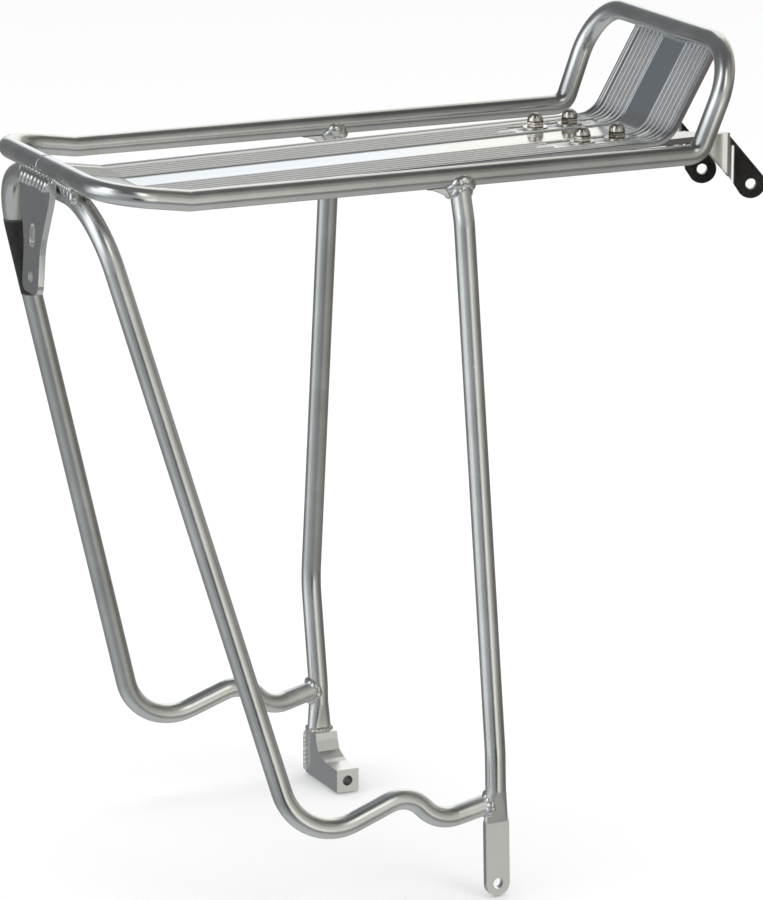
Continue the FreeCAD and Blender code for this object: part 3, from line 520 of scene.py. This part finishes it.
SLOT_OF = {part["node"]: part["material_slot"] for part in frame["record"]["subparts"]}


def material_for(node_name):
    if node_name.endswith("_washer"):
        return MATERIALS["washer"]
    if node_name == "deck_loop":
        return MATERIALS["loop"]
    if node_name in ("right_stay", "left_stay"):
        return MATERIALS[node_name]
    return MATERIALS[SLOT_OF.get(node_name, "tube")]


for node_name, piece in frame["nodes"].items():
    material = material_for(node_name)
    if not piece.material_slots:
        piece.data.materials.append(material)
    for slot in piece.material_slots:
        slot.material = material


# ---------------------------------------------------------------- weld beads, mm
ROWS_PER_SCALLOP = 9
ROW_POINTS = 18
JITTERS = 400


def resample(points, normals, step, closed):
    """Even stations (point, normal, distance) along a path, and the path's length."""
    points = [Vector(p) for p in points]
    normals = [Vector(n).normalized() for n in normals]
    if closed:
        points.append(points[0])
        normals.append(normals[0])
    lengths = [0.0]
    for a, b in zip(points, points[1:]):
        lengths.append(lengths[-1] + (b - a).length)
    count = max(4, round(lengths[-1] / step))
    stations, j = [], 0
    for i in range(count if closed else count + 1):
        along = lengths[-1] * i / count
        while j < len(lengths) - 2 and lengths[j + 1] < along:
            j += 1
        t = (along - lengths[j]) / max(1e-9, lengths[j + 1] - lengths[j])
        stations.append((points[j].lerp(points[j + 1], t),
                         normals[j].lerp(normals[j + 1], t).normalized(), along))
    return stations, lengths[-1]


def bead(name, points, normals, radius, pitch=2.4, closed=False, flat=0.8, wide=1.15,
         lean=0.75, dip=0.20, grow=(1.0, 1.0)):
    """A run of weld: overlapping scallops along a path, each leaning on the one before.

    flat and wide scale the section along and across the normal, dip is the depth between
    scallops, and grow scales the radius from the start of the run to its end.
    """
    stations, total = resample(points, normals, pitch / ROWS_PER_SCALLOP, closed)
    if closed:
        # a whole number of scallops round the ring
        pitch = total / max(3, round(total / pitch))
        stations, total = resample(points, normals, pitch / ROWS_PER_SCALLOP, closed)
    rng = random.Random(len(name) * 131 + int(total * 17))
    # size and sideways shift of each scallop; the third draw only keeps the sequence
    jitter = [(1 + rng.uniform(-0.07, 0.07), rng.uniform(-0.10, 0.10), rng.uniform(0.8, 1.2))
              for _ in range(JITTERS)]
    cycle = round(total / pitch) if closed else JITTERS
    count = len(stations)
    bm = bmesh.new()
    rows = []
    for i, (point, normal, along) in enumerate(stations):
        before = stations[(i - 1) % count][0] if (closed or i > 0) else point
        after = stations[(i + 1) % count][0] if (closed or i < count - 1) else point
        tangent = (after - before).normalized()
        normal = (normal - tangent * normal.dot(tangent)).normalized()
        across = tangent.cross(normal)

        scallop = int(along / pitch)
        part = along / pitch - scallop
        dome = math.sin(math.pi * part) ** 0.55 if 0 < part < 1 else 0.0
        this = jitter[scallop % cycle]
        following = jitter[(scallop % cycle + 1) % cycle]
        ease = part * part * (3 - 2 * part)
        size = this[0] * (1 - ease) + following[0] * ease
        shift = this[1] * (1 - ease) + following[1] * ease
        row_radius = radius * (1.0 - dip + dip * dome) * size
        row_radius *= grow[0] + (grow[1] - grow[0]) * along / total
        end = 1.0
        if not closed:
            # round off both ends of an open run
            near_end = min(along, total - along) / (pitch * 0.9)
            end = math.sqrt(max(0.0, 1 - (1 - min(1.0, near_end)) ** 2)) * 0.92 + 0.08

        row = []
        for j in range(ROW_POINTS):
            angle = 2 * math.pi * j / ROW_POINTS
            up, sideways = math.cos(angle), math.sin(angle)
            forward = lean * radius * (max(0.0, up) ** 2 - 0.35) * end
            corner = (point + normal * (row_radius * flat * up * end)
                      + across * (row_radius * wide * (sideways * end) + shift * radius * 0.5)
                      + tangent * forward)
            row.append(bm.verts.new(corner * MM))
        rows.append(row)
    for i in range(count if closed else count - 1):
        row, following = rows[i], rows[(i + 1) % count]
        for j in range(ROW_POINTS):
            k = (j + 1) % ROW_POINTS
            bm.faces.new((row[j], row[k], following[k], following[j]))
    if not closed:
        bm.faces.new(list(reversed(rows[0])))
        bm.faces.new(rows[-1])
    bmesh.ops.recalc_face_normals(bm, faces=bm.faces)
    mesh = bpy.data.meshes.new(name)
    bm.to_mesh(mesh)
    bm.free()
    for face in mesh.polygons:
        face.use_smooth = True
    mesh.materials.append(MATERIALS["weld"])
    run = bpy.data.objects.new(name, mesh)
    bpy.context.scene.collection.objects.link(run)
    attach(run, "frame")


def saddle(start, branch, main_point, main_axis, main_radius, count=72):
    """Where a tube from start along branch first meets the skin of a main tube."""
    start, branch = Vector(start), Vector(branch).normalized()
    main_point, axis = Vector(main_point), Vector(main_axis).normalized()
    first = (axis - branch * axis.dot(branch)).normalized()
    second = branch.cross(first)
    points, normals = [], []
    for i in range(count):
        angle = math.radians(360.0 * i / count)
        out = first * math.cos(angle) + second * math.sin(angle)
        # a line along the branch's skin, cut with the main tube
        rel = start + out * TUBE_R - main_point
        rel_flat = rel - axis * rel.dot(axis)
        branch_flat = branch - axis * branch.dot(axis)
        a, b = branch_flat.dot(branch_flat), 2 * rel_flat.dot(branch_flat)
        c = rel_flat.dot(rel_flat) - main_radius * main_radius
        t = (-b - math.sqrt(max(b * b - 4 * a * c, 0.0))) / (2 * a)
        point = start + out * TUBE_R + branch * t
        radial = (point - main_point) - axis * (point - main_point).dot(axis)
        both = out + radial.normalized()
        points.append(point)
        normals.append(both.normalized() if both.length > 1e-3 else out)
    return points, normals


def front_leg_welds(side):
    """Two runs round the top of a front leg, one under the other, and one on the gusset."""
    y, outward = RAIL_Y[side], -1 if side == "right" else 1
    leg = Vector((-LEG_LEAN * 20.0, -outward * 5.9, 20.0)).normalized()
    start_z = 320.5
    start = (-LEG_LEAN * start_z, y + outward * 5.6, start_z)
    points, normals = saddle(start, leg, (0, y, RAIL_Z), (1, 0, 0), SKIN_R)
    bead(side + "_front_leg_weld", points, normals, radius=2.7, pitch=4.4, closed=True,
         flat=0.95, wide=1.1, lean=0.35)
    toe = [p - leg * 3.3 + n * -0.45 for p, n in zip(points, normals)]
    toe_normals = [(p - Vector((-LEG_LEAN * p.z, y + outward * 1.6, p.z))).normalized()
                   for p in toe]
    bead(side + "_front_leg_weld_toe", toe, toe_normals, radius=1.7, pitch=5.2, closed=True,
         wide=1.45, lean=0.25)
    gusset = [(x, y, z) for x, z in
              ((-22.0, 336.3), (-18.5, 335.4), (-15.5, 334.2), (-12.8, 332.6))]
    bead(side + "_gusset_weld", gusset, [(-0.5, 0, -0.9)] * 4, radius=1.3, pitch=5.0,
         flat=0.6, wide=1.25, lean=0.15, grow=(0.6, 1.1))


for side in ("right", "left"):
    front_leg_welds(side)

# ends of the wave tube against the front legs:
# side, leg's Y, wave end's Y, its drift in Y per unit of X, leg's radius at the bead
for side, leg_y, wave_y, drift, leg_r in (("right", -172.5, -169.8, -0.002, 4.4),
                                          ("left", 34.7, 34.7, 0.02, SKIN_R)):
    points, normals = saddle((-20.0, wave_y, 36.3), (1.0, drift, 0.20),
                             (-LEG_LEAN * 40.0, leg_y, 40.0), (-LEG_LEAN, 0, 1), leg_r)
    bead(side + "_wave_weld", points, normals, radius=2.2, pitch=2.6, closed=True,
         flat=0.85, wide=1.1)


def groove(y, front):
    """Middle and outward direction of the groove between crossbar and leg hoop, y off centre."""
    straight, bend_r = (17.0, 37.0) if y < 0 else (36.0, 40.0)
    over = max(0.0, abs(y) - straight)
    drop = bend_r - math.sqrt(max(0.0, bend_r * bend_r - over * over))
    bar, hoop = Vector((CROSSBAR_X, 0, CROSSBAR_Z)), Vector((-182.5, 0, 337.8 - drop))
    down = (hoop - bar).normalized()
    out = Vector((down.z, 0, -down.x)).normalized()
    if (out.x > 0) != front:
        out = -out
    return (bar + hoop) / 2, out


def groove_run(name, start_y, end_y, radius, pitch, front=False, grow=(1.0, 1.0)):
    points, normals = [], []
    for i in range(25):
        y = start_y + (end_y - start_y) * i / 24
        middle, out = groove(y, front)
        p = middle + out * 2.6
        points.append((p.x, MID_Y + y, p.z))
        normals.append(out)
    bead(name, points, normals, radius=radius, pitch=pitch, flat=0.9, grow=grow)


# leg hoop to crossbar, on the rear face and then on the front face
groove_run("tail_weld_right", -19.0, -38.0, radius=3.2, pitch=4.6, grow=(1.0, 1.25))
groove_run("tail_weld_left", 20.5, 32.5, radius=3.0, pitch=3.4, grow=(1.0, 1.15))
groove_run("tail_weld_front", -33.0, 50.0, radius=2.8, pitch=3.0, front=True)

# across the lamp plate
points = [(-192.5, MID_Y + 17.5 - 37.5 * i / 20, 342.9 - 0.02 * abs(i - 10)) for i in range(21)]
bead("tail_plate_weld", points, [(-1, 0, 0.35)] * 21, radius=3.5, pitch=4.3, flat=0.75,
     wide=1.2, lean=1.05, dip=0.42)

# fine run low on the crossbar's rear; its second half drops and curves in
points = []
for i in range(25):
    late = max(0.0, (i - 12) / 12.0)
    points.append((-190.1 + 1.5 * late ** 2, MID_Y - 3.0 - 34.0 * i / 24, 345.3 - 1.9 * late))
bead("crossbar_under_weld", points, [(-1, 0, -0.35)] * 25, radius=1.35, pitch=2.1,
     wide=1.25, dip=0.35)

# thin seam round the crossbar
angles = [i / 24 * 2 * math.pi for i in range(24)]
points = [(CROSSBAR_X + TUBE_R * math.cos(a), MID_Y + 5.0, CROSSBAR_Z + TUBE_R * math.sin(a))
          for a in angles]
bead("crossbar_seam", points, [(x - CROSSBAR_X, 0, z - CROSSBAR_Z) for x, _, z in points],
     radius=0.45, pitch=1.6, closed=True, flat=0.6, wide=1.3, lean=0.3)

# deck plate to the crossbar, then to the hoop's top bar
for side, start_y, end_y in (("right", -38.0, -17.0), ("left", 17.0, 38.0)):
    points = [(-179.7, MID_Y + start_y, 343.4), (-179.7, MID_Y + (start_y + end_y) / 2, 343.5),
              (-179.7, MID_Y + end_y, 343.4)]
    bead("plate_tail_weld_" + side, points, [(0.75, 0, 0.6)] * 3, radius=1.8)
for side, y in (("right", -36.5), ("left", 36.5)):
    points = [(145.8, MID_Y + y - 4.4, 388.7), (146.0, MID_Y + y, 388.8),
              (145.8, MID_Y + y + 4.4, 388.7)]
    bead("plate_hoop_weld_" + side, points, [(0.3, 0, 0.9)] * 3, radius=1.6)

# ring on top of the left block, round the leg's foot: x before narrowing, y, outward x, y
BLOCK_RING = [
    (-5.2, 30.7, -1, -1), (0.0, 30.6, 0, -1), (3.6, 31.2, 0.5, -0.8), (5.6, 33.0, 1, -0.4),
    (6.0, 34.7, 1, 0), (5.6, 36.4, 1, 0.4), (3.6, 38.2, 0.5, 0.8), (0.0, 38.8, 0, 1),
    (-5.2, 38.7, -1, 1), (-5.9, 34.7, -1, 0),
]
points = [(x * 0.93, y, 18.5) for x, y, _, _ in BLOCK_RING]
normals = [Vector((out_x, out_y, 0)).normalized() + Vector((0, 0, 1.1))
           for _, _, out_x, out_y in BLOCK_RING]
bead("block_top_weld", points, normals, radius=1.5, pitch=2.1, closed=True, wide=1.1)

# down the block's outer rear edge
points = [(-5.7, 39.0, 17.0 - 21.5 * i / 14) for i in range(15)]
bead("block_edge_weld", points, [(-1, 0.8, 0)] * 15, radius=1.9, flat=0.85, wide=1.2)

# ---------------------------------------------------------------- studio, m
scene = bpy.context.scene
CAMERA_PLACE = Vector((-1.033923, -2.264902, 0.817881))
RIGHT = Vector((0.906743, -0.421682, 0.001138))
UP = Vector((0.102917, 0.223917, 0.969159))
VIEW = Vector((0.408931, 0.878661, -0.246433))
TO_CAMERA = Vector((-VIEW.x, -VIEW.y, 0)).normalized()       # level
TO_RIGHT = Vector((RIGHT.x, RIGHT.y, 0)).normalized()        # level

FLOOR_HALF = 14.0
FLOOR_GAP = 0.0008               # between the rack's lowest point and the floor
FLOOR_CELLS = 8


def make_floor():
    z = CAD_BOX[0].z - FLOOR_GAP
    ticks = [-FLOOR_HALF + 2 * FLOOR_HALF * i / FLOOR_CELLS for i in range(FLOOR_CELLS + 1)]
    mesh = bpy.data.meshes.new("floor")
    bm = bmesh.new()
    grid = [[bm.verts.new((x, y, z)) for y in ticks] for x in ticks]
    for row, following in zip(grid, grid[1:]):
        for j in range(FLOOR_CELLS):
            bm.faces.new((row[j], following[j], following[j + 1], row[j + 1]))
    bm.to_mesh(mesh)
    bm.free()
    floor = bpy.data.objects.new("floor", mesh)
    scene.collection.objects.link(floor)
    return floor


floor = make_floor()

# Brightness against azimuth in degrees: 0 towards the camera, + to the camera's right.
# The lowest row comes first; each later row takes over between two sines of elevation.
LOWEST_ROW = [(-180, 0.50), (0, 0.50), (180, 0.50)]
HIGHER_ROWS = [
    (-0.86, -0.58, [
        (-180, 0.30), (-120, 0.26), (-60, 0.36), (0, 0.24), (60, 0.25), (120, 0.22),
        (180, 0.30)]),
    (-0.46, -0.30, [
        (-180, 0.42), (-164, 0.27), (-148, 0.175), (-126, 0.165), (-110, 0.23), (-92, 0.72),
        (-78, 0.98), (-60, 0.90), (-46, 0.46), (-30, 0.36), (-12, 0.28), (6, 0.28), (21, 0.95),
        (39, 1.08), (50, 0.56), (70, 0.32), (96, 0.14), (135, 0.15), (180, 0.42)]),
    (-0.10, 0.06, [
        (-180, 1.15), (-170, 1.0), (-160, 0.22), (-140, 0.15), (-116, 0.15), (-98, 0.30),
        (-78, 1.30), (-48, 1.30), (-26, 0.40), (8, 0.36), (26, 0.62), (44, 0.60), (64, 0.42),
        (90, 0.22), (140, 0.40), (160, 1.05), (180, 1.15)]),
    (0.33, 0.52, [
        (-180, 1.05), (-173, 0.95), (-166, 0.30), (-156, 0.16), (-110, 0.13), (-80, 0.30),
        (-68, 1.5), (-48, 1.5), (-36, 0.40), (-16, 0.10), (14, 0.10), (22, 1.4), (34, 1.4),
        (46, 0.34), (64, 0.28), (110, 0.12), (146, 0.40), (162, 1.0), (180, 1.05)]),
    (0.72, 0.88, [(-180, 0.13), (0, 0.11), (180, 0.13)]),
]
WARM, COOL = (1.0, 0.995, 0.93), (0.955, 0.99, 1.025)
WARM_FROM = 20                   # azimuth beyond which the light is warm
# a black flag low in front of the rack, a little to the camera's right
FLAG = Vector((-0.240, -0.934, -0.259)).normalized()
FLAG_OUTER, FLAG_INNER = math.radians(15), math.radians(9)
FLAG_COLOUR = (0.012, 0.011, 0.011)


def studio_group():
    """Brightness of the studio in a direction: soft boxes, grey walls and a dim ceiling."""
    tree = bpy.data.node_groups.new("studio", "ShaderNodeTree")
    tree.interface.new_socket("Direction", in_out="INPUT", socket_type="NodeSocketVector")
    tree.interface.new_socket("Color", in_out="OUTPUT", socket_type="NodeSocketColor")
    g = Graph(tree)
    direction = g.node("NodeGroupInput").outputs[0]

    def dot(vector):
        node = g.node("ShaderNodeVectorMath", operation="DOT_PRODUCT")
        g.feed(node.inputs[0], direction)
        node.inputs[1].default_value = vector
        return node.outputs["Value"]

    azimuth = g.math("ARCTAN2", dot(TO_RIGHT), dot(TO_CAMERA), third=0.5)
    # 0 to 1 all round, 0.5 towards the camera
    turn = g.math("DIVIDE", azimuth, 2 * math.pi, third=0.5)
    turn = g.math("ADD", turn, 0.5, third=0.5)
    height = dot((0, 0, 1))

    def brightness_row(table):
        node = g.node("ShaderNodeValToRGB")
        node.color_ramp.interpolation = "EASE"
        stops = [(0.5 + degrees / 360.0,
                  (*scaled(WARM if degrees > WARM_FROM else COOL, value), 1))
                 for degrees, value in table]
        elements = node.color_ramp.elements
        elements[0].position, elements[0].color = stops[0]
        elements[1].position, elements[1].color = stops[-1]
        for position, colour in stops[1:-1]:
            elements.new(position).color = colour
        g.feed(node.inputs[0], turn)
        return node.outputs[0]

    light = brightness_row(LOWEST_ROW)
    for low, high, table in HIGHER_ROWS:
        light = g.mix(g.remap(height, over=(low, high), smooth=True), light,
                      brightness_row(table))
    flag = g.remap(dot(FLAG), over=(math.cos(FLAG_OUTER), math.cos(FLAG_INNER)), smooth=True)
    g.feed(g.node("NodeGroupOutput").inputs[0], g.mix(flag, light, FLAG_COLOUR))
    return tree


STUDIO = studio_group()


def show_studio(g, direction, plain, studio, output_kind):
    """Glossy rays see the studio through the studio shader; all other rays see the plain one."""
    group = g.node("ShaderNodeGroup", node_tree=STUDIO)
    g.feed(group.inputs[0], direction)
    g.feed(studio.inputs["Color"], group.outputs[0])
    mixer = g.node("ShaderNodeMixShader")
    g.feed(mixer.inputs[0], g.node("ShaderNodeLightPath").outputs["Is Glossy Ray"])
    g.feed(mixer.inputs[1], plain.outputs[0])
    g.feed(mixer.inputs[2], studio.outputs[0])
    g.feed(g.node(output_kind).inputs[0], mixer.outputs[0])


def make_world():
    world = bpy.data.worlds.new("studio")
    scene.world = world
    world.use_nodes = True
    g = Graph(world.node_tree)
    white = g.node("ShaderNodeBackground")
    white.inputs["Color"].default_value = (1.0, 1.0, 1.0, 1)
    white.inputs["Strength"].default_value = 0.97
    show_studio(g, g.node("ShaderNodeTexCoord").outputs["Generated"], white,
                g.node("ShaderNodeBackground"), "ShaderNodeOutputWorld")


def floor_paper():
    """White paper with a faint change of tone."""
    material = bpy.data.materials.new("floor_paper")
    material.use_nodes = True
    g = Graph(material.node_tree)
    noise = g.node("ShaderNodeTexNoise")
    noise.inputs["Scale"].default_value = 3.0
    tone = g.remap(noise.outputs["Fac"], over=(0.0, 1.0), to=(0.955, 0.975))
    grey = g.node("ShaderNodeCombineColor")
    for i in range(3):
        g.feed(grey.inputs[i], tone)
    paper = g.node("ShaderNodeBsdfDiffuse")
    g.feed(paper.inputs["Color"], grey.outputs[0])
    onward = g.node("ShaderNodeVectorMath", operation="SCALE")
    onward.inputs["Scale"].default_value = -1.0
    g.feed(onward.inputs[0], g.node("ShaderNodeNewGeometry").outputs["Incoming"])
    show_studio(g, onward.outputs[0], paper, g.node("ShaderNodeEmission"),
                "ShaderNodeOutputMaterial")
    return material


make_world()
floor.data.materials.append(floor_paper())

TARGET = Vector((0.0, MID_Y * MM, 0.2))      # what the lights point at


def area(name, offset, size, power):
    light = bpy.data.lights.new(name, "AREA")
    light.shape = "RECTANGLE"
    light.size, light.size_y = size
    light.energy = power
    lamp = bpy.data.objects.new(name, light)
    place = TARGET + offset[0] + offset[1] + offset[2]
    lamp.location = place
    lamp.rotation_euler = (TARGET - place).to_track_quat("-Z", "Y").to_euler()
    lamp.visible_camera = False
    lamp.visible_glossy = False
    scene.collection.objects.link(lamp)


NONE = Vector((0, 0, 0))
area("key", offset=(TO_CAMERA * 1.6, TO_RIGHT * 1.5, Vector((0, 0, 1.3))),
     size=(1.0, 1.3), power=9.0)
area("fill", offset=(TO_CAMERA * 1.0, TO_RIGHT * -1.9, Vector((0, 0, 0.9))),
     size=(1.0, 1.4), power=5.0)
area("top", offset=(Vector((0.1, 0.3, 2.2)), NONE, NONE), size=(1.6, 1.0), power=5.0)

camera_data = bpy.data.cameras.new("camera")
camera = bpy.data.objects.new("camera", camera_data)
scene.collection.objects.link(camera)
axes = Matrix((RIGHT, UP, -VIEW)).transposed()
camera.matrix_world = Matrix.Translation(CAMERA_PLACE) @ axes.to_4x4()
camera_data.sensor_fit = "AUTO"
camera_data.sensor_width = 36.0
camera_data.lens = 204.4612
camera_data.shift_x = -0.0026888889
camera_data.shift_y = -0.0217888889
camera_data.clip_start, camera_data.clip_end = 0.05, 60.0
scene.camera = camera

scene.view_settings.view_transform = "Standard"
scene.view_settings.look = "None"
scene.view_settings.exposure = 0.0
scene.view_settings.gamma = 1.0
